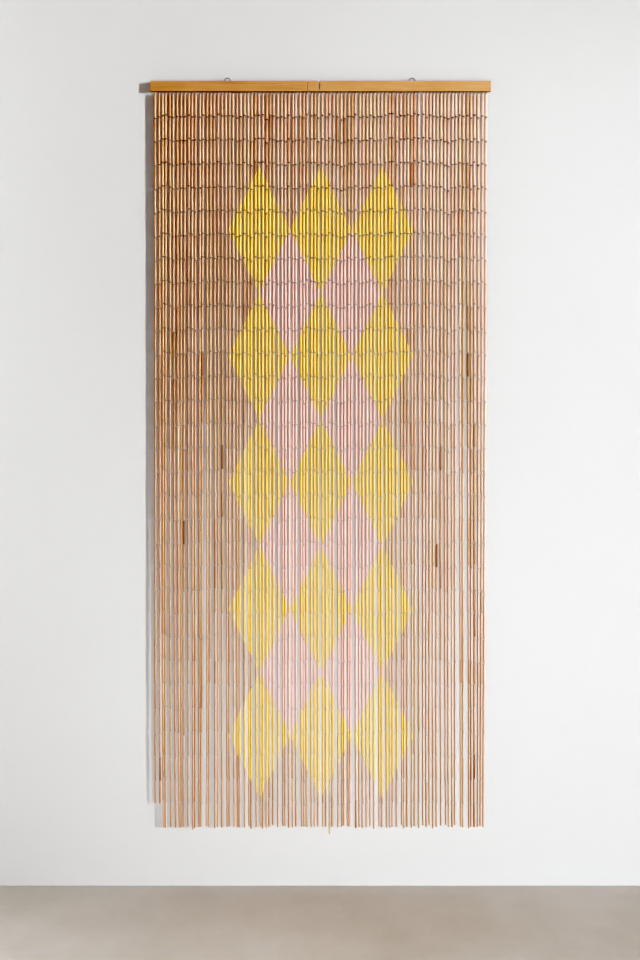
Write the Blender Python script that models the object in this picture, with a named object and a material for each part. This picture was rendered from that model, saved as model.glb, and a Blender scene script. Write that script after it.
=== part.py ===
"""A bamboo bead curtain on its header bar, hung on two wire loops.

Metres, +Z up. The front faces -Y and the bar runs along X.
The origin is midway between the two loops, at the height where their hooks or nails bear.
"""
import math
import random

import bmesh
import bpy
from mathutils import Vector

# Clearance between two pieces that touch on the real curtain
CLEARANCE = 0.0003

# Header bar: two lengths of one flat batten, butted at a seam left of the middle
BAR_WIDTH = 0.900
BAR_HEIGHT = 0.027
BAR_DEPTH = 0.012
BAR_EDGE = 0.0008
SEAM_X = -0.0346
SLOT_X = -0.0029
SLOT_WIDTH = 0.0035
SLOT_FLOOR = 0.004

# Hanger loops: wire arches with both legs driven into the bar's top edge
LOOP_X = {"left": -0.246, "right": 0.242}
LOOP_RADIUS = 0.0078
LOOP_RISE = 0.0012
LOOP_WIRE = 0.0018
LEG_DEPTH = 0.008
LEG_HOLE = LOOP_WIRE + 2 * CLEARANCE
ARCH_STEPS = 12
WIRE_SIDES = 8

# Root strip: let into a groove along the bar's underside, it carries every strand
STRIP_WIDTH = 0.882
STRIP_DEPTH = 0.0054
STRIP_HEIGHT = 0.0024
GROOVE_HEIGHT = STRIP_HEIGHT + 2 * CLEARANCE

# Strands: tubes threaded end to end on wire links
STRANDS = 90
STRAND_PITCH = 0.00983
TUBES = 31
TUBE_PITCH = 0.06256
LINK_WIDTH = 0.0016
LINK_DROP = 0.0035
TUBE_SHOULDER = 0.0005
TUBE_TOP_WIDTH = 0.0068
TUBE_FOOT_WIDTH = 0.0038
SQUARE_OF_ROUND = 0.9
STRAND_STEPS = 4

# How unevenly the strands hang: the spread of their places, and the nearest that two come
TOP_SPREAD, TOP_NEAREST = 0.0007, 0.0074
FOOT_SPREAD, FOOT_NEAREST = 0.0024, 0.0050
DEPTH_SPREAD = 0.0009
LENGTH_SPREAD = 0.0022

# The slow ripple that neighbouring strands share
RIPPLE = 0.0010
RIPPLE_ALONG = 0.35
RIPPLE_DOWN = 5.0

# The strands that end at another height than the rest
ONE_TUBE_SHORT = (0, 1)
LONG_STRAND, LONG_BY = 47, 0.0227

# Start of the random draw, so that every build is the same
SEED = 423

# Heights that follow from the sizes above
BAR_TOP = -(LOOP_RISE + LOOP_RADIUS - LOOP_WIRE / 2)
BAR_FOOT = BAR_TOP - BAR_HEIGHT
FIRST_TUBE = BAR_FOOT - LINK_DROP
STRAND_DROP = TUBES * TUBE_PITCH


def material(name, colour, roughness, metallic=0.0):
    """A plain Principled material."""
    made = bpy.data.materials.new(name)
    made.use_nodes = True
    shader = made.node_tree.nodes["Principled BSDF"]
    shader.inputs["Base Color"].default_value = (*colour, 1.0)
    shader.inputs["Roughness"].default_value = roughness
    shader.inputs["Metallic"].default_value = metallic
    return made


def add_object(name, data, finish=None):
    """Puts a mesh or a curve in the scene as one named sub-part."""
    made = bpy.data.objects.new(name, data)
    bpy.context.collection.objects.link(made)
    if finish:
        data.materials.append(finish)
    return made


def mesh_object(name, bm, finish=None):
    """Turns a bmesh into a sub-part with its faces pointing out."""
    bmesh.ops.recalc_face_normals(bm, faces=bm.faces)
    mesh = bpy.data.meshes.new(name)
    bm.to_mesh(mesh)
    bm.free()
    return add_object(name, mesh, finish)


def block(low, high):
    """A bmesh box between two corners."""
    bm = bmesh.new()
    bmesh.ops.create_cube(bm, size=1.0)
    low, high = Vector(low), Vector(high)
    bmesh.ops.scale(bm, vec=high - low, verts=bm.verts)
    bmesh.ops.translate(bm, vec=(low + high) / 2, verts=bm.verts)
    return bm


def cut(target, name, bm):
    """Takes a cutter's shape out of a sub-part."""
    cutter = mesh_object(name, bm)
    cutter.hide_render = True
    cutter.display_type = "WIRE"
    modifier = target.modifiers.new(name, "BOOLEAN")
    modifier.operation = "DIFFERENCE"
    modifier.solver = "EXACT"
    modifier.object = cutter


def groove(target, name, left, right):
    """Cuts the strip's groove from X = left to X = right in a bar's underside."""
    half = STRIP_DEPTH / 2 + CLEARANCE
    cut(target, name, block((left, -half, BAR_FOOT - CLEARANCE), (right, half, BAR_FOOT + GROOVE_HEIGHT)))


def leg_hole(target, name, x):
    """Bores a blind hole for one leg of a hanger loop in a bar's top edge."""
    bm = bmesh.new()
    deep = LEG_DEPTH + 2 * CLEARANCE
    bmesh.ops.create_cone(
        bm, cap_ends=True, segments=WIRE_SIDES, radius1=LEG_HOLE / 2, radius2=LEG_HOLE / 2, depth=deep
    )
    bmesh.ops.translate(bm, vec=(x, 0, BAR_TOP + CLEARANCE - deep / 2), verts=bm.verts)
    cut(target, name, bm)


def header_bar(side, left, right, wood):
    """One length of the bar, with its rounded edges, its groove and the holes for its loop."""
    half = BAR_DEPTH / 2
    bm = block((left, -half, BAR_FOOT), (right, half, BAR_TOP))
    bmesh.ops.bevel(
        bm, geom=bm.edges[:], offset=BAR_EDGE, segments=2, profile=0.5, affect="EDGES", material=-1
    )
    bar = mesh_object(f"header_bar_{side}", bm, wood)
    strip_end = STRIP_WIDTH / 2 + CLEARANCE
    groove(bar, f"groove_cutter_{side}", max(left - CLEARANCE, -strip_end), min(right + CLEARANCE, strip_end))
    for leg, offset in (("outer", -LOOP_RADIUS), ("inner", LOOP_RADIUS)):
        leg_hole(bar, f"hole_cutter_{side}_{leg}", LOOP_X[side] + offset)
    return bar


def saw_slot(bar):
    """The slot that is sawn from the bar's top edge almost to its foot."""
    half = BAR_DEPTH / 2 + CLEARANCE
    low = (SLOT_X - SLOT_WIDTH / 2, -half, BAR_FOOT + SLOT_FLOOR)
    high = (SLOT_X + SLOT_WIDTH / 2, half, BAR_TOP + CLEARANCE)
    cut(bar, "slot_cutter", block(low, high))


def loop_points():
    """The wire's centre line: up one leg, round the arch and down the other leg."""
    foot = BAR_TOP - LEG_DEPTH
    spring = BAR_TOP + LOOP_RISE
    angles = [math.pi * (1 - step / ARCH_STEPS) for step in range(ARCH_STEPS + 1)]
    arch = [(LOOP_RADIUS * math.cos(a), spring + LOOP_RADIUS * math.sin(a)) for a in angles]
    return [(-LOOP_RADIUS, foot), *arch, (LOOP_RADIUS, foot)]


def hanger_loop(side, steel):
    """A wire loop that stands on the bar and hangs on a hook or a nail."""
    curve = bpy.data.curves.new(f"hanger_loop_{side}", "CURVE")
    curve.dimensions = "3D"
    curve.bevel_depth = LOOP_WIRE / 2
    curve.bevel_resolution = 2
    curve.use_fill_caps = True
    spline = curve.splines.new("POLY")
    points = loop_points()
    spline.points.add(len(points) - 1)
    for point, (x, z) in zip(spline.points, points):
        point.co = (x + LOOP_X[side], 0, z, 1)
    return add_object(f"hanger_loop_{side}", curve, steel)


def places(spread, nearest, draw):
    """X places of the strands: an even pitch, loosened at random, then parted where two come too near."""
    first = -STRAND_PITCH * (STRANDS - 1) / 2
    found = sorted(first + index * STRAND_PITCH + draw.gauss(0, spread) for index in range(STRANDS))
    for _ in range(STRANDS):
        for index in range(STRANDS - 1):
            short = nearest - (found[index + 1] - found[index])
            if short > 0:
                found[index] -= short / 2
                found[index + 1] += short / 2
    return found


def strand_routes():
    """Each strand's top X, foot X, foot Y and foot Z."""
    draw = random.Random(SEED)
    tops = places(TOP_SPREAD, TOP_NEAREST, draw)
    feet = places(FOOT_SPREAD, FOOT_NEAREST, draw)
    routes = []
    for index in range(STRANDS):
        drop = STRAND_DROP + draw.gauss(0, LENGTH_SPREAD)
        if index in ONE_TUBE_SHORT:
            drop -= TUBE_PITCH
        if index == LONG_STRAND:
            drop += LONG_BY
        routes.append((tops[index], feet[index], draw.gauss(0, DEPTH_SPREAD), FIRST_TUBE - drop))
    return routes


def place_ring(face, x, y, z, width):
    """Moves a strand's end face to a square of one width about a point."""
    middle = face.calc_center_median()
    for vert in face.verts:
        across = math.copysign(width / 2, vert.co.x - middle.x)
        deep = math.copysign(width / 2, vert.co.y - middle.y)
        vert.co = (x + across, y + deep, z)


def draw_down(bm, face, x, y, z, width):
    """Extrudes a strand's end face to its next ring."""
    face = bmesh.ops.extrude_discrete_faces(bm, faces=[face])["faces"][0]
    place_ring(face, x, y, z, width)
    return face


def ripple(index, share):
    """How far the shared ripple moves a strand in X and in Y, at a share of the way down."""
    phase = RIPPLE_ALONG * index + RIPPLE_DOWN * share
    return RIPPLE * share * math.sin(phase), RIPPLE * share * math.cos(phase)


def strand(bm, face, index, route):
    """Draws one strand down from its face of the strip: the link, then the tapering run of tubes."""
    top_x, foot_x, foot_y, foot_z = route
    strip_foot = face.calc_center_median().z
    bmesh.ops.inset_individual(bm, faces=[face], thickness=LINK_WIDTH)
    place_ring(face, top_x, 0, strip_foot, LINK_WIDTH)
    face = draw_down(bm, face, top_x, 0, FIRST_TUBE, LINK_WIDTH)
    first_tube = FIRST_TUBE - TUBE_SHOULDER
    for step in range(STRAND_STEPS + 1):
        share = step / STRAND_STEPS
        across, deep = ripple(index, share)
        x = top_x + (foot_x - top_x) * share + across
        y = foot_y * share + deep
        z = first_tube + (foot_z - first_tube) * share
        round_width = TUBE_TOP_WIDTH + (TUBE_FOOT_WIDTH - TUBE_TOP_WIDTH) * share
        face = draw_down(bm, face, x, y, z, round_width * SQUARE_OF_ROUND)


def bamboo_strands(bamboo):
    """The root strip with all its strands, as one body."""
    routes = strand_routes()
    low = (-STRIP_WIDTH / 2, -STRIP_DEPTH / 2, BAR_FOOT + CLEARANCE)
    high = (STRIP_WIDTH / 2, STRIP_DEPTH / 2, BAR_FOOT + CLEARANCE + STRIP_HEIGHT)
    bm = block(low, high)
    for left, right in zip(routes, routes[1:]):
        between = ((left[0] + right[0]) / 2, 0, 0)
        everything = bm.verts[:] + bm.edges[:] + bm.faces[:]
        bmesh.ops.bisect_plane(bm, geom=everything, plane_co=between, plane_no=(1, 0, 0))
    bm.normal_update()
    under = [face for face in bm.faces if face.normal.z < -0.9]
    under.sort(key=lambda face: face.calc_center_median().x)
    for index, (face, route) in enumerate(zip(under, routes)):
        strand(bm, face, index, route)
    return mesh_object("bamboo_strands", bm, bamboo)


def build():
    """Clears the scene and models every sub-part."""
    for old in list(bpy.data.objects):
        bpy.data.objects.remove(old)
    wood = material("honey_wood", (0.56, 0.30, 0.09), 0.5)
    steel = material("steel_wire", (0.55, 0.55, 0.54), 0.35, 1.0)
    bamboo = material("bamboo", (0.58, 0.36, 0.19), 0.55)
    header_bar("left", -BAR_WIDTH / 2, SEAM_X - CLEARANCE, wood)
    saw_slot(header_bar("right", SEAM_X + CLEARANCE, BAR_WIDTH / 2, wood))
    for side in LOOP_X:
        hanger_loop(side, steel)
    bamboo_strands(bamboo)


build()
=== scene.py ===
"""The bamboo bead curtain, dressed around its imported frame: tubes, wire links, wood, light and camera."""
import math
import random

import bmesh
import bpy
from mathutils import Matrix, Vector


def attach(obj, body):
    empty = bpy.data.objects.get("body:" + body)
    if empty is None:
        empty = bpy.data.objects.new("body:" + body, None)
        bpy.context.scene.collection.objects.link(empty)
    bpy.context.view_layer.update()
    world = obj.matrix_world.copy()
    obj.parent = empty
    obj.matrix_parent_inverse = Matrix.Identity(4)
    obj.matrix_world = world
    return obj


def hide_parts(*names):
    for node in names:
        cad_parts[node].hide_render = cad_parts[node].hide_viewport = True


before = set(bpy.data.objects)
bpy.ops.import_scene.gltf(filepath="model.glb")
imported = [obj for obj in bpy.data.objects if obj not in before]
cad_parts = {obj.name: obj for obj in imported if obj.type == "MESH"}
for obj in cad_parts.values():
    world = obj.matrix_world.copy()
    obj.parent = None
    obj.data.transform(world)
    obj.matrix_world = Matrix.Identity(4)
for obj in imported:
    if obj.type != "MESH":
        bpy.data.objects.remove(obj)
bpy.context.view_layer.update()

MM = 0.001

# Header bar, hanger loops and root strip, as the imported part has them
BAR_WIDTH = 0.900
BAR_HEIGHT = 27 * MM
BAR_DEPTH = 12 * MM
LOOP_RADIUS = 7.8 * MM
LOOP_RISE = 1.2 * MM
LOOP_WIRE = 1.8 * MM
CLEARANCE = 0.3 * MM
STRIP_WIDTH = 0.882
STRIP_DEPTH = 5.4 * MM
STRIP_HEIGHT = 2.4 * MM

# Strands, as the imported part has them
STRANDS = 90
STRAND_PITCH = 9.83 * MM
TUBES = 31
TUBE_PITCH = 62.56 * MM
LINK_DROP = 3.5 * MM
TUBE_TOP_WIDTH = 6.8 * MM
TUBE_FOOT_WIDTH = 3.8 * MM
TOP_SPREAD, TOP_NEAREST = 0.7 * MM, 7.4 * MM
FOOT_SPREAD, FOOT_NEAREST = 2.4 * MM, 5.0 * MM
DEPTH_SPREAD = 0.9 * MM
LENGTH_SPREAD = 2.2 * MM
ONE_TUBE_SHORT = (0, 1)
LONG_STRAND, LONG_BY = 47, 22.7 * MM
SEED = 423
RIPPLE = 1.0 * MM
RIPPLE_ALONG = 0.35
RIPPLE_DOWN = 5.0

BAR_TOP = -(LOOP_RISE + LOOP_RADIUS - LOOP_WIRE / 2)
BAR_FOOT = BAR_TOP - BAR_HEIGHT
FIRST_TUBE = BAR_FOOT - LINK_DROP
STRAND_DROP = TUBES * TUBE_PITCH

# One bamboo tube, before it is scaled to its place
TUBE_SIDES = 8
TUBE_BORE = 0.44
BORE_DEPTH = 4 * MM
TUBE_EDGE = 0.35 * MM
TOP_GAP, FOOT_GAP = 2.4 * MM, 1.2 * MM
TUBE_LENGTH = TUBE_PITCH - TOP_GAP

# How the tubes differ
FIRST_LENGTH_VARIES, FIRST_LENGTH_LIMIT = 3.6 * MM, 8 * MM
LENGTH_VARIES = 0.8 * MM
WIDTH_VARIES = 0.05
WIDTH_LIMIT = 0.08
TOP_JOINT_SHIFT = 0.3 * MM
FOOT_JOINT_SHIFT = 0.12 * MM
BEND = 0.03 * MM
# The range of the tubes' tones, how often a tube keeps the one above it, and how far it strays from it
TONES = (0.14, 1.0)
TONE_HOLDS, TONE_VARIES = 0.78, 0.08

# Wire links between the tubes
LINK_WIRE = 0.25 * MM
LINK_REACH = 2.6 * MM
LINK_STEPS = 8
LINK_SIDES = 4
LINK_SHARE = 0.34
ROOT_LINK_REACH = 3.0 * MM

STRANDS_PER_PIECE = 10

# The painted pattern: tall harlequin diamonds, three across and five down
DIAMOND_WIDTH = 0.163
DIAMOND_HEIGHT = 0.334
PATTERN_MIDDLE_X = 0.001
PATTERN_MIDDLE_Z = -1.068
EDGE_FUZZ = 2.2 * MM
TUBE_SHIFT = 4 * MM
# How far out from the middle one the diamonds are painted: columns, then rows
YELLOW_COLUMNS, YELLOW_ROWS = 1.25, 2.25
PINK_COLUMNS, PINK_ROWS = 0.75, 1.75

# Where the photograph was taken from, and how far the curtain is from wall and floor
PHOTO_WIDTH, PHOTO_HEIGHT = 640, 960
METRES_PER_PIXEL = 0.900 / 341
HORIZON_PIXEL = 480
BAR_TOP_PIXEL = 80.9
FLOOR_PIXEL = 887.3
MIDDLE_PIXEL = 320.5
CAMERA_DISTANCE = 4.0
SENSOR = 36.0
WALL_Y = 10.3 * MM
CAMERA_Z = BAR_TOP - (HORIZON_PIXEL - BAR_TOP_PIXEL) * METRES_PER_PIXEL
FLOOR_Z = CAMERA_Z - (FLOOR_PIXEL - HORIZON_PIXEL) * METRES_PER_PIXEL
# Half the sides of the stage's floor and wall
FLOOR_REACH = 8.0
WALL_REACH, WALL_RISE = 9.0, 3.0

# Light: degrees to the right of the wall's normal, degrees up, distance, size, the X and Z that it is
# aimed at, the radius that it reaches there, how soft its edge is, and its power
KEY_LIGHT = (60.0, 6.0, 16.0, 2.0, (-14.000, -0.840), 7.041, 0.330, 36300)
LOW_LIGHT = (6.0, 1.5, 12.0, 1.2, (5.0, -4.752), 8.414, 0.465, 4850)
FRONT_LIGHT = (4.0, 1.5, 12.0, 1.2, (0.55, 0.50), 1.238, 0.911, 2150)
BACK_LIGHT_PLACE, BACK_LIGHT_SIZE, BACK_LIGHT_POWER = (-2.0, 4.5, 0.3), 3.0, 260
LIGHT_COLOUR = (0.915, 0.93, 0.97)
SIDE_FILL = 1.1
FILL_COLOUR = (1.0, 0.943, 0.83)
BACKGROUND = (0.62, 0.62, 0.62)
BLACK_LEVEL = (0.06, 0.092, 0.097)


class Value:
    """A number, colour or vector that varies over a surface, with its sums written as Python."""

    def __init__(self, nodes, socket):
        self.nodes = nodes
        self.socket = socket

    def __add__(self, other):
        return self.nodes.sum("ADD", self, other)

    def __sub__(self, other):
        return self.nodes.sum("SUBTRACT", self, other)

    def __mul__(self, other):
        return self.nodes.sum("MULTIPLY", self, other)

    def __truediv__(self, other):
        return self.nodes.sum("DIVIDE", self, other)

    def __radd__(self, other):
        return self.nodes.sum("ADD", other, self)

    def __rsub__(self, other):
        return self.nodes.sum("SUBTRACT", other, self)

    def __rmul__(self, other):
        return self.nodes.sum("MULTIPLY", other, self)

    def below(self, other):
        return self.nodes.sum("LESS_THAN", self, other)

    def above(self, other):
        return self.nodes.sum("GREATER_THAN", self, other)

    def size(self):
        return self.nodes.sum("ABSOLUTE", self)

    def floor(self):
        return self.nodes.sum("FLOOR", self)

    def wrap(self, span):
        return self.nodes.sum("FLOORED_MODULO", self, span)


class Nodes:
    """A node tree that is written as sums and calls."""

    def __init__(self, tree):
        self.tree = tree

    def node(self, kind, settings=None, values=None, output=0):
        """Adds one node: its settings first, then the values or links of its sockets."""
        made = self.tree.nodes.new(f"ShaderNode{kind}")
        for name, setting in (settings or {}).items():
            if name == "stops":
                self.set_stops(made.color_ramp, setting)
            else:
                setattr(made, name, setting)
        for name, value in (values or {}).items():
            self.feed(made.inputs[name], value)
        return Value(self, made.outputs[output])

    def feed(self, socket, value):
        if isinstance(value, Value):
            self.tree.links.new(value.socket, socket)
        else:
            socket.default_value = value

    def set_stops(self, ramp, stops):
        while len(ramp.elements) < len(stops):
            ramp.elements.new(1.0)
        for element, (place, colour) in zip(ramp.elements, stops):
            element.position = place
            element.color = (*colour, 1.0)

    def sum(self, operation, *terms):
        return self.node("Math", {"operation": operation}, dict(enumerate(terms)))

    def either(self, share, first, second):
        """Mixes two shaders, from the first at share 0 to the second at share 1."""
        return self.node("MixShader", values={0: share, 1: first, 2: second})

    def output(self, name, shader):
        self.feed(self.tree.nodes[name].inputs["Surface"], shader)


class Finish(Nodes):
    """A procedural material on one Principled shader."""

    def __init__(self, name, **fixed):
        self.material = bpy.data.materials.new(name)
        self.material.use_nodes = True
        super().__init__(self.material.node_tree)
        self.shader = self.tree.nodes["Principled BSDF"]
        for socket, value in fixed.items():
            self.shader.inputs[socket.replace("_", " ")].default_value = value

    def mix(self, share, first, second, blend="MIX"):
        """Mixes two colours, from the first at share 0 to the second at share 1."""
        colours = [value if isinstance(value, Value) else (*value, 1.0) for value in (first, second)]
        return self.node(
            "Mix",
            {"data_type": "RGBA", "blend_type": blend},
            {0: share, 6: colours[0], 7: colours[1]},
            output=2,
        )

    def place(self):
        """Object coordinates: the whole vector, then X, Y and Z."""
        vector = self.node("TexCoord", output=3)
        split = [self.node("SeparateXYZ", values={0: vector}, output=axis) for axis in range(3)]
        return vector, *split

    def noise(self, vector, stretch, scale, detail=2.0, roughness=0.5):
        """Noise from 0 to 1 on a vector that is first stretched along its axes."""
        stretched = self.node("Mapping", values={"Vector": vector, "Scale": stretch})
        values = {"Vector": stretched, "Scale": scale, "Detail": detail, "Roughness": roughness}
        return self.node("TexNoise", values=values)

    def painted_left_shade(self, colour, x, tan):
        """Paints shade: multiplies a colour by a tan that fades out from the left end to the right."""
        return self.mix(1.0, colour, self.mix(x / BAR_WIDTH + 0.5, tan, (1.0, 1.0, 1.0)), blend="MULTIPLY")

    def attribute(self, name):
        return self.node("Attribute", {"attribute_name": name}, output=2)

    def bump(self, height, distance):
        return self.node("Bump", values={"Height": height, "Distance": distance})

    def surface(self, **sockets):
        """Links what varies over the surface to the shader, and hands the material over."""
        for socket, value in sockets.items():
            self.feed(self.shader.inputs[socket.replace("_", " ")], value)
        return self.material


# Finishes

HONEY_DARK = (0.333, 0.178, 0.075)
HONEY = (0.500, 0.328, 0.164)
HONEY_PALE = (0.590, 0.428, 0.240)
# Painted shade: wood and bamboo are both browner toward the left end, where less light falls on them
LEFT_SHADE_FOR_WOOD = (0.91, 0.86, 0.80)
LEFT_SHADE_FOR_BAMBOO = (0.80, 0.72, 0.60)

BAMBOO_TONES = (
    (0.00, (0.37, 0.195, 0.095)),
    (0.06, (0.50, 0.310, 0.190)),
    (0.14, (0.62, 0.435, 0.300)),
    (0.35, (0.68, 0.510, 0.390)),
    (0.70, (0.71, 0.560, 0.460)),
    (1.00, (0.73, 0.610, 0.530)),
)
BAMBOO_TINTS = ((0.0, (1.0, 0.93, 0.93)), (0.5, (1.0, 0.98, 0.97)), (1.0, (0.96, 0.99, 0.89)))
YELLOW_PAINT = (0.80, 0.60, 0.18)
PINK_PAINT = (0.77, 0.55, 0.50)
# How much of the bamboo the paint covers, and how much of that its fibres wear off
PAINT_COVER, PAINT_WEAR = 0.97, 0.16
SPECK_COLOUR, SPECK_SHARE = (0.16, 0.07, 0.03), 0.3
# The dark cut ends start this far from the middle of a tube, as a share of its length
CUT_END_FROM = 0.484
# Colour and share of the dark cut ends; the share grows toward the top of the curtain as painted shade
CUT_END_AND_SHADE_COLOUR, CUT_END_AND_SHADE_SHARE = (0.16, 0.065, 0.022), 0.8

STEEL_TONES = ((0.3, (0.09, 0.088, 0.085)), (0.7, (0.22, 0.215, 0.21)))
FLOOR_TONES = ((0.35, (0.79, 0.775, 0.72)), (0.65, (0.865, 0.855, 0.82)))
WALL_COLOUR = (0.60, 0.61, 0.604)


def honey_wood():
    """Stained wood with its grain along X and darker pores, and painted shade toward the left end."""
    finish = Finish("honey_wood", Specular_IOR_Level=0.4, Coat_Weight=0.15, Coat_Roughness=0.3)
    vector, x, _, _ = finish.place()
    broad = finish.noise(vector, (2.0, 60.0, 60.0), 3.0, detail=3.0)
    fine = finish.noise(vector, (14.0, 500.0, 500.0), 3.0, detail=4.0, roughness=0.7)
    pores = finish.noise(vector, (30.0, 900.0, 900.0), 2.0, detail=2.0).above(0.63)
    cloud = finish.noise(vector, (7.0, 7.0, 7.0), 1.0)
    grain = broad * 0.55 + fine * 0.45
    colour = finish.node(
        "ValToRGB",
        {"stops": ((0.32, HONEY_DARK), (0.48, HONEY), (0.70, HONEY_PALE))},
        {0: grain * 0.8 + cloud * 0.22},
    )
    colour = finish.mix(pores * 0.25, colour, HONEY_DARK)
    return finish.surface(
        # Painted shade: the wood is browner toward the left end
        Base_Color=finish.painted_left_shade(colour, x, LEFT_SHADE_FOR_WOOD),
        Roughness=fine * 0.2 + 0.36,
        Normal=finish.bump(fine - pores * 0.4, 0.00012),
    )


def paint_masks(finish, x, z, vector, shift):
    """Shares of yellow and of pink paint, from a harlequin of tall diamonds."""
    fuzz = (finish.noise(vector, (1.0, 1.0, 0.35), 420.0, detail=2.0) - 0.5) * (EDGE_FUZZ * 2)
    across = (x - PATTERN_MIDDLE_X + fuzz) / DIAMOND_WIDTH
    down = (z - PATTERN_MIDDLE_Z + shift + fuzz) / DIAMOND_HEIGHT
    rising = (across + down + 0.5).floor()
    falling = (across - down + 0.5).floor()
    column = (rising + falling) * 0.5
    row = (rising - falling) * 0.5
    between = (rising + falling).wrap(2.0).above(0.5)
    yellow = (1 - between) * column.size().below(YELLOW_COLUMNS) * row.size().below(YELLOW_ROWS)
    pink = between * column.size().below(PINK_COLUMNS) * row.size().below(PINK_ROWS)
    return yellow, pink


def bamboo():
    """Bamboo with a tone of its own on each tube, fine fibres, dark cut ends that painted shade darkens
    toward the top, painted shade toward the left end, and the painted pattern.
    """
    finish = Finish("bamboo", Specular_IOR_Level=0.4, Coat_Weight=0.12, Coat_Roughness=0.3)
    vector, x, _, z = finish.place()
    tone = finish.attribute("tone")
    age = finish.attribute("age")
    along = finish.attribute("along")
    fibres = finish.noise(vector, (1.0, 1.0, 0.02), 1500.0, detail=3.0, roughness=0.6)
    blotches = finish.noise(vector, (1.0, 1.0, 0.15), 90.0, detail=2.0)
    picked = tone + (blotches - 0.5) * 0.14 + (fibres - 0.5) * 0.12
    colour = finish.node("ValToRGB", {"stops": BAMBOO_TONES}, {0: picked})
    tint = finish.node("ValToRGB", {"stops": BAMBOO_TINTS}, {0: age})
    colour = finish.mix(1.0, colour, tint, blend="MULTIPLY")
    # Painted shade: the bamboo is browner toward the left end
    colour = finish.painted_left_shade(colour, x, LEFT_SHADE_FOR_BAMBOO)
    speckle = finish.noise(vector, (1.0, 1.0, 0.3), 900.0, detail=1.0).above(0.74)
    colour = finish.mix(speckle * SPECK_SHARE, colour, SPECK_COLOUR)
    yellow, pink = paint_masks(finish, x, z, vector, (age - 0.5) * TUBE_SHIFT)
    cover = PAINT_COVER - fibres * PAINT_WEAR
    colour = finish.mix(yellow * cover, colour, YELLOW_PAINT)
    colour = finish.mix(pink * cover, colour, PINK_PAINT)
    # The cut ends are dark, and painted shade makes them darker toward the top of the curtain
    end = (along - 0.5).size().above(CUT_END_FROM)
    height = z / STRAND_DROP + 1
    colour = finish.mix(end * height * height * CUT_END_AND_SHADE_SHARE, colour, CUT_END_AND_SHADE_COLOUR)
    painted = yellow + pink
    return finish.surface(
        Base_Color=colour,
        Roughness=0.44 + painted * 0.12 + (fibres - 0.5) * 0.2,
        Normal=finish.bump(fibres, 0.00004),
    )


def steel_wire():
    """Drawn steel wire with a faint haze of tarnish."""
    finish = Finish("steel_wire", Metallic=1.0)
    vector, *_ = finish.place()
    haze = finish.noise(vector, (1.0, 1.0, 1.0), 600.0, detail=3.0)
    colour = finish.node("ValToRGB", {"stops": STEEL_TONES}, {0: haze})
    return finish.surface(Base_Color=colour, Roughness=0.25 + haze * 0.25)


def pale_floor():
    """Pale polished screed with soft clouds in it."""
    finish = Finish("pale_floor", Specular_IOR_Level=0.35)
    vector, *_ = finish.place()
    clouds = finish.noise(vector, (1.0, 0.5, 1.0), 3.5, detail=6.0, roughness=0.6)
    colour = finish.node("ValToRGB", {"stops": FLOOR_TONES}, {0: clouds})
    return finish.surface(Base_Color=colour, Roughness=0.45 + clouds * 0.15)


def wall_paint():
    """Matt white paint on the stage wall, which is clear for whatever is seen through it from behind."""
    finish = Finish("wall_paint", Base_Color=(*WALL_COLOUR, 1.0), Roughness=0.9, Specular_IOR_Level=0.1)
    behind = finish.node("NewGeometry", output="Backfacing")
    seen_through = finish.node("LightPath", output="Transparent Depth").above(0.5)
    clear = finish.node("BsdfTransparent")
    paint = Value(finish, finish.shader.outputs[0])
    finish.output("Material Output", finish.either(finish.sum("MAXIMUM", behind, seen_through), paint, clear))
    return finish.material


# Shapes


def add_piece(name, bm, material, smooth_angle=None):
    """Puts a finished bmesh in the scene as one object at the origin."""
    mesh = bpy.data.meshes.new(name)
    bm.to_mesh(mesh)
    bm.free()
    if smooth_angle is not None:
        mesh.shade_smooth()
        mesh.set_sharp_from_angle(angle=math.radians(smooth_angle))
    mesh.materials.append(material)
    made = bpy.data.objects.new(name, mesh)
    bpy.context.collection.objects.link(made)
    return made


def dress(piece, slot, *nodes):
    """Rides a piece on the curtain's one body, and hides the imported nodes that it stands in for."""
    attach(piece, "root")
    if nodes:
        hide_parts(*nodes)


def block(low, high):
    """A bmesh box between two corners."""
    bm = bmesh.new()
    bmesh.ops.create_cube(bm, size=1.0)
    low, high = Vector(low), Vector(high)
    bmesh.ops.scale(bm, vec=high - low, verts=bm.verts)
    bmesh.ops.translate(bm, vec=(low + high) / 2, verts=bm.verts)
    return bm


def tube_form():
    """One bamboo tube, hollow at both ends, standing on the middle of its length at Z = 0."""
    bm = bmesh.new()
    radius = TUBE_TOP_WIDTH / 2
    bmesh.ops.create_cone(
        bm, cap_ends=True, segments=TUBE_SIDES, radius1=radius, radius2=radius, depth=TUBE_LENGTH
    )
    rims = [edge for edge in bm.edges if abs(edge.verts[0].co.z - edge.verts[1].co.z) < MM]
    bmesh.ops.bevel(bm, geom=rims, offset=TUBE_EDGE, segments=1, profile=0.5, affect="EDGES", material=-1)
    bm.normal_update()
    ends = [face for face in bm.faces if abs(face.normal.z) > 0.9]
    for end in ends:
        upward = math.copysign(1.0, end.normal.z)
        bmesh.ops.inset_individual(bm, faces=[end], thickness=radius * (1 - TUBE_BORE) - TUBE_EDGE)
        bore = bmesh.ops.extrude_discrete_faces(bm, faces=[end])["faces"][0]
        bmesh.ops.translate(bm, vec=(0, 0, -upward * BORE_DEPTH), verts=bore.verts)
    everything = bm.verts[:] + bm.edges[:] + bm.faces[:]
    bmesh.ops.bisect_plane(bm, geom=everything, plane_co=(0, 0, 0), plane_no=(0, 0, 1))
    bmesh.ops.recalc_face_normals(bm, faces=bm.faces)
    layers = [bm.verts.layers.float.new(name) for name in ("tone", "age", "along")]
    for vert in bm.verts:
        vert[layers[2]] = 0.5 + vert.co.z / TUBE_LENGTH
    return as_mesh("tube_form", bm)


def as_mesh(name, bm):
    """Keeps a form as a mesh that is copied into larger ones."""
    mesh = bpy.data.meshes.new(name)
    bm.to_mesh(mesh)
    bm.free()
    return mesh


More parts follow.
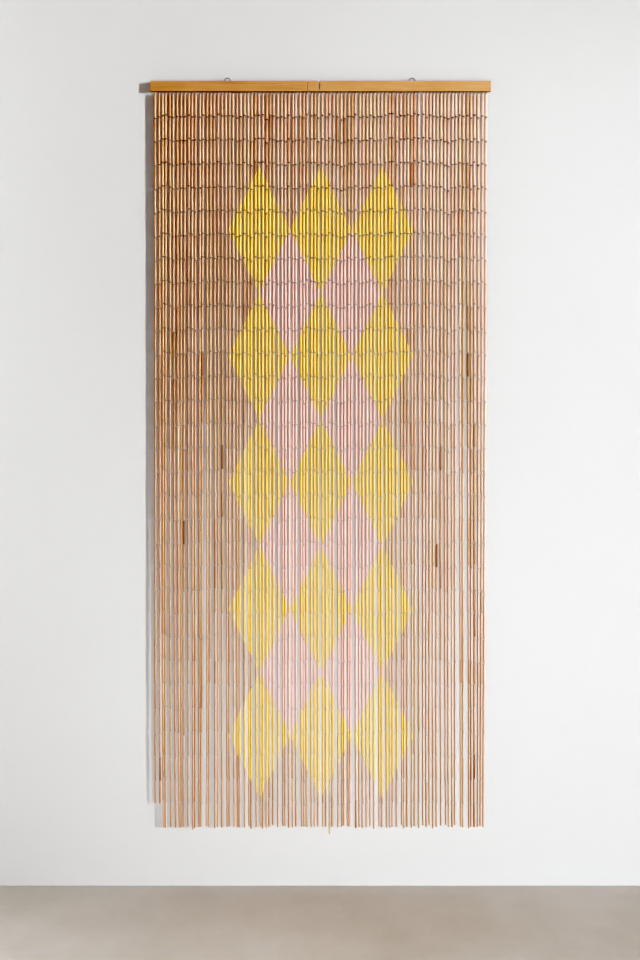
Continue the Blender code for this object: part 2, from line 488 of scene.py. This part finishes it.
def wire_ring(width, height, wire):
    """A closed wire ring in the XZ plane about the origin, drawn out to a height."""
    bm = bmesh.new()
    bmesh.ops.create_circle(bm, cap_ends=False, segments=LINK_SIDES, radius=wire / 2)
    bmesh.ops.translate(bm, vec=((width - wire) / 2, 0, 0), verts=bm.verts)
    bmesh.ops.spin(
        bm,
        geom=bm.verts[:] + bm.edges[:],
        cent=(0, 0, 0),
        axis=(0, 1, 0),
        angle=math.tau,
        steps=LINK_STEPS,
        use_merge=True,
    )
    bmesh.ops.remove_doubles(bm, verts=bm.verts, dist=wire * 0.01)
    straight = (height - width) / 2
    for vert in bm.verts:
        if abs(vert.co.z) > wire * 0.01:
            vert.co.z += math.copysign(straight, vert.co.z)
    bmesh.ops.recalc_face_normals(bm, faces=bm.faces)
    return bm


# The strands' places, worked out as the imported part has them


def places(spread, nearest, draw):
    """X places of the strands: an even pitch, loosened at random, then parted where two come too near."""
    first = -STRAND_PITCH * (STRANDS - 1) / 2
    found = sorted(first + index * STRAND_PITCH + draw.gauss(0, spread) for index in range(STRANDS))
    for _ in range(STRANDS):
        for index in range(STRANDS - 1):
            short = nearest - (found[index + 1] - found[index])
            if short > 0:
                found[index] -= short / 2
                found[index + 1] += short / 2
    return found


def strand_routes():
    """Each strand's top X, foot X, foot Y and foot Z."""
    draw = random.Random(SEED)
    tops = places(TOP_SPREAD, TOP_NEAREST, draw)
    feet = places(FOOT_SPREAD, FOOT_NEAREST, draw)
    routes = []
    for index in range(STRANDS):
        drop = STRAND_DROP + draw.gauss(0, LENGTH_SPREAD)
        if index in ONE_TUBE_SHORT:
            drop -= TUBE_PITCH
        if index == LONG_STRAND:
            drop += LONG_BY
        routes.append((tops[index], feet[index], draw.gauss(0, DEPTH_SPREAD), FIRST_TUBE - drop))
    return routes


def on_route(index, route, z):
    """The point of a strand at a height."""
    top_x, foot_x, foot_y, foot_z = route
    share = (FIRST_TUBE - z) / (FIRST_TUBE - foot_z)
    phase = RIPPLE_ALONG * index + RIPPLE_DOWN * share
    x = top_x + (foot_x - top_x) * share + RIPPLE * share * math.sin(phase)
    y = foot_y * share + RIPPLE * share * math.cos(phase)
    return Vector((x, y, z))


def within(value, limit):
    return max(-limit, min(limit, value))


def joints(index, route, draw):
    """The points where one strand's tubes meet, from the first tube's top to the last one's foot."""
    tubes = TUBES - 1 if index in ONE_TUBE_SHORT else TUBES
    foot_z = route[3]
    found = [on_route(index, route, FIRST_TUBE)]
    z = FIRST_TUBE + within(draw.gauss(0, FIRST_LENGTH_VARIES), FIRST_LENGTH_LIMIT)
    for _ in range(tubes - 1):
        z -= TUBE_PITCH + draw.gauss(0, LENGTH_VARIES)
        point = on_route(index, route, z)
        share = (FIRST_TUBE - z) / STRAND_DROP
        shift = TOP_JOINT_SHIFT + (FOOT_JOINT_SHIFT - TOP_JOINT_SHIFT) * share
        point.x += within(draw.gauss(0, shift), 1.5 * shift)
        point.y += within(draw.gauss(0, shift), 1.5 * shift)
        found.append(point)
    found.append(on_route(index, route, foot_z - FOOT_GAP / 2))
    return found


def between(upper, lower):
    """Stands a form's own Z axis on the line from one point to another, with its middle halfway."""
    axis = upper - lower
    turn = Vector((0, 0, 1)).rotation_difference(axis).to_matrix().to_4x4()
    return Matrix.Translation((upper + lower) / 2) @ turn


def tube_width(z):
    """How thick the tubes are at a height."""
    share = (FIRST_TUBE - z) / STRAND_DROP
    return TUBE_TOP_WIDTH + (TUBE_FOOT_WIDTH - TUBE_TOP_WIDTH) * share


def tube_gap(z):
    """How far apart the ends of two tubes are at a height."""
    share = min(1.0, (FIRST_TUBE - z) / STRAND_DROP)
    return TOP_GAP + (FOOT_GAP - TOP_GAP) * share


def add_tube(bm, form, upper, lower, tone, age, draw):
    """Copies the tube form between two joints, with a width and a bend of its own."""
    start = len(bm.verts)
    bm.from_mesh(form)
    bm.verts.ensure_lookup_table()
    fresh = bm.verts[start:]
    width = tube_width((upper.z + lower.z) / 2) * (1 + within(draw.gauss(0, WIDTH_VARIES), WIDTH_LIMIT))
    long = ((upper - lower).length - (tube_gap(upper.z) + tube_gap(lower.z)) / 2) / TUBE_LENGTH
    thick = width / TUBE_TOP_WIDTH
    bend = Vector((draw.gauss(0, BEND), draw.gauss(0, BEND), 0))
    place = between(upper, lower) @ Matrix.Diagonal((thick, thick, long, 1)) @ Matrix.Rotation(
        draw.uniform(0, math.tau), 4, "Z"
    )
    tone_layer, age_layer = bm.verts.layers.float["tone"], bm.verts.layers.float["age"]
    for vert in fresh:
        middle = abs(vert.co.z) < MM
        vert.co = place @ vert.co
        if middle:
            vert.co += bend
        vert[tone_layer] = tone
        vert[age_layer] = age
    return width


def add_link(bm, form, middle, width, reach, turned):
    """Copies the ring form about a joint, as wide as the tubes' bores take."""
    start = len(bm.verts)
    bm.from_mesh(form)
    bm.verts.ensure_lookup_table()
    across = width / TUBE_TOP_WIDTH
    turn = Matrix.Rotation(math.pi / 2 * turned, 4, "Z")
    place = Matrix.Translation(middle) @ turn @ Matrix.Diagonal((across, across, reach, 1))
    bmesh.ops.transform(bm, matrix=place, verts=bm.verts[start:])


def build_strands(bamboo_finish, steel_finish):
    """All the strands, in pieces of neighbouring strands: their tubes, and the wire links at the joints."""
    draw = random.Random(SEED + 1)
    routes = strand_routes()
    tube = tube_form()
    link = as_mesh("link_form", wire_ring(TUBE_TOP_WIDTH * LINK_SHARE, 2 * LINK_REACH, LINK_WIRE * 2))
    for first in range(0, STRANDS, STRANDS_PER_PIECE):
        tubes, links = bmesh.new(), bmesh.new()
        for name in ("tone", "age", "along"):
            tubes.verts.layers.float.new(name)
        for index in range(first, first + STRANDS_PER_PIECE):
            points = joints(index, routes[index], draw)
            root = points[0] + Vector((0, 0, ROOT_LINK_REACH / 2))
            add_link(links, link, root, TUBE_TOP_WIDTH, 1.0 + ROOT_LINK_REACH / LINK_REACH / 2, index % 2)
            tone, age = draw.uniform(*TONES), draw.random()
            for row, (upper, lower) in enumerate(zip(points, points[1:])):
                if draw.random() > TONE_HOLDS:
                    tone, age = draw.uniform(*TONES), draw.random()
                width = add_tube(tubes, tube, upper, lower, tone + draw.gauss(0, TONE_VARIES), age, draw)
                if row < len(points) - 2:
                    add_link(links, link, lower, width, 1.0, (index + row) % 2)
        number = first // STRANDS_PER_PIECE + 1
        piece = add_piece(f"bamboo_tubes_{number}", tubes, bamboo_finish, smooth_angle=50)
        dress(piece, "bamboo", "bamboo_strands")
        piece = add_piece(f"wire_links_{number}", links, steel_finish, smooth_angle=80)
        dress(piece, "steel_wire")


def build_root_strip(wood):
    """The strip in the bar's groove that the top links are fixed to."""
    foot = BAR_FOOT + CLEARANCE
    low = (-STRIP_WIDTH / 2, -STRIP_DEPTH / 2, foot)
    high = (STRIP_WIDTH / 2, STRIP_DEPTH / 2, foot + STRIP_HEIGHT)
    bm = block(low, high)
    bmesh.ops.bevel(
        bm, geom=bm.edges[:], offset=CLEARANCE, segments=2, profile=0.5, affect="EDGES", material=-1
    )
    dress(add_piece("root_strip", bm, wood, smooth_angle=40), "honey_wood", "bamboo_strands")


def dress_frame(name, material):
    """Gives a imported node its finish."""
    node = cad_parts[name]
    node.data.materials.clear()
    node.data.materials.append(material)


# The stage


def build_stage():
    """A pale floor, and a white wall close behind the curtain."""
    bm = bmesh.new()
    bmesh.ops.create_grid(bm, x_segments=1, y_segments=1, size=FLOOR_REACH)
    bmesh.ops.translate(bm, vec=(0, 0, FLOOR_Z), verts=bm.verts)
    floor = add_piece("stage_floor", bm, pale_floor())
    bm = bmesh.new()
    bmesh.ops.create_grid(bm, x_segments=1, y_segments=1, size=1.0)
    bmesh.ops.rotate(bm, cent=(0, 0, 0), matrix=Matrix.Rotation(math.pi / 2, 3, "X"), verts=bm.verts)
    bmesh.ops.scale(bm, vec=(WALL_REACH, 1.0, WALL_RISE), verts=bm.verts)
    bmesh.ops.translate(bm, vec=(0, WALL_Y, FLOOR_Z + WALL_RISE), verts=bm.verts)
    wall = add_piece("stage_wall", bm, wall_paint())


def build_camera():
    """The photograph's level, straight view."""
    data = bpy.data.cameras.new("camera")
    data.sensor_width = SENSOR
    data.lens = SENSOR * CAMERA_DISTANCE / (PHOTO_HEIGHT * METRES_PER_PIXEL)
    camera = bpy.data.objects.new("camera", data)
    bpy.context.collection.objects.link(camera)
    x = (PHOTO_WIDTH / 2 - MIDDLE_PIXEL) * METRES_PER_PIXEL
    camera.location = (x, -BAR_DEPTH / 2 - CAMERA_DISTANCE, CAMERA_Z)
    camera.rotation_euler = (math.pi / 2, 0, 0)
    bpy.context.scene.camera = camera


def add_light(name, kind, place, aim, power):
    """Hangs one light that the camera doesn't see, and turns it to the point that it is aimed at."""
    data = bpy.data.lights.new(name, kind)
    data.energy = power
    light = bpy.data.objects.new(name, data)
    bpy.context.collection.objects.link(light)
    light.location = place
    light.rotation_euler = (place - aim).to_track_quat("Z", "Y").to_euler()
    light.visible_camera = False
    return data


def add_soft_spot(name, turned, raised, distance, size, aim, reach, softness, power):
    """A large soft light whose edge fades over the curtain's height."""
    turned, raised = math.radians(turned), math.radians(raised)
    towards = Vector((
        math.sin(turned) * math.cos(raised),
        -math.cos(turned) * math.cos(raised),
        math.sin(raised),
    ))
    place = Vector((0, 0, CAMERA_Z)) + towards * distance
    aim = Vector((aim[0], 0, aim[1]))
    data = add_light(name, "SPOT", place, aim, power)
    data.color = LIGHT_COLOUR
    data.shadow_soft_size = size / 2
    data.spot_size = 2 * math.atan(reach / (place - aim).length)
    data.spot_blend = softness


def build_light():
    """A distant key from the right, two lights nearer the front, a light behind, and a pale surround."""
    add_soft_spot("key_light", *KEY_LIGHT)
    add_soft_spot("low_light", *LOW_LIGHT)
    add_soft_spot("front_light", *FRONT_LIGHT)
    middle = Vector((0, 0, CAMERA_Z))
    back = add_light("back_light", "AREA", Vector(BACK_LIGHT_PLACE), middle, BACK_LIGHT_POWER)
    back.shape, back.size = "DISK", BACK_LIGHT_SIZE
    world = bpy.data.worlds.new("surround")
    world.use_nodes = True
    nodes = Nodes(world.node_tree)
    world.node_tree.nodes.remove(world.node_tree.nodes["Background"])
    sideways = nodes.node("SeparateXYZ", values={0: nodes.node("TexCoord", output="Generated")})
    square = sideways * sideways
    fill = square * square * SIDE_FILL
    lit = nodes.node("Background", values={"Color": (*FILL_COLOUR, 1.0), "Strength": fill})
    seen = nodes.node("Background", values={"Color": (*BACKGROUND, 1.0)})
    camera_ray = nodes.node("LightPath", output="Is Camera Ray")
    nodes.output("World Output", nodes.either(camera_ray, lit, seen))
    bpy.context.scene.world = world
    view = bpy.context.scene.view_settings
    view.view_transform, view.look = "Standard", "High Contrast"
    view.use_curve_mapping = True
    view.curve_mapping.black_level = BLACK_LEVEL
    view.curve_mapping.update()


build_camera()
wood, steel = honey_wood(), steel_wire()
for bar in ("header_bar_left", "header_bar_right"):
    dress_frame(bar, wood)
for loop in ("hanger_loop_left", "hanger_loop_right"):
    dress_frame(loop, steel)
build_strands(bamboo(), steel)
build_root_strip(wood)
build_stage()
build_light()
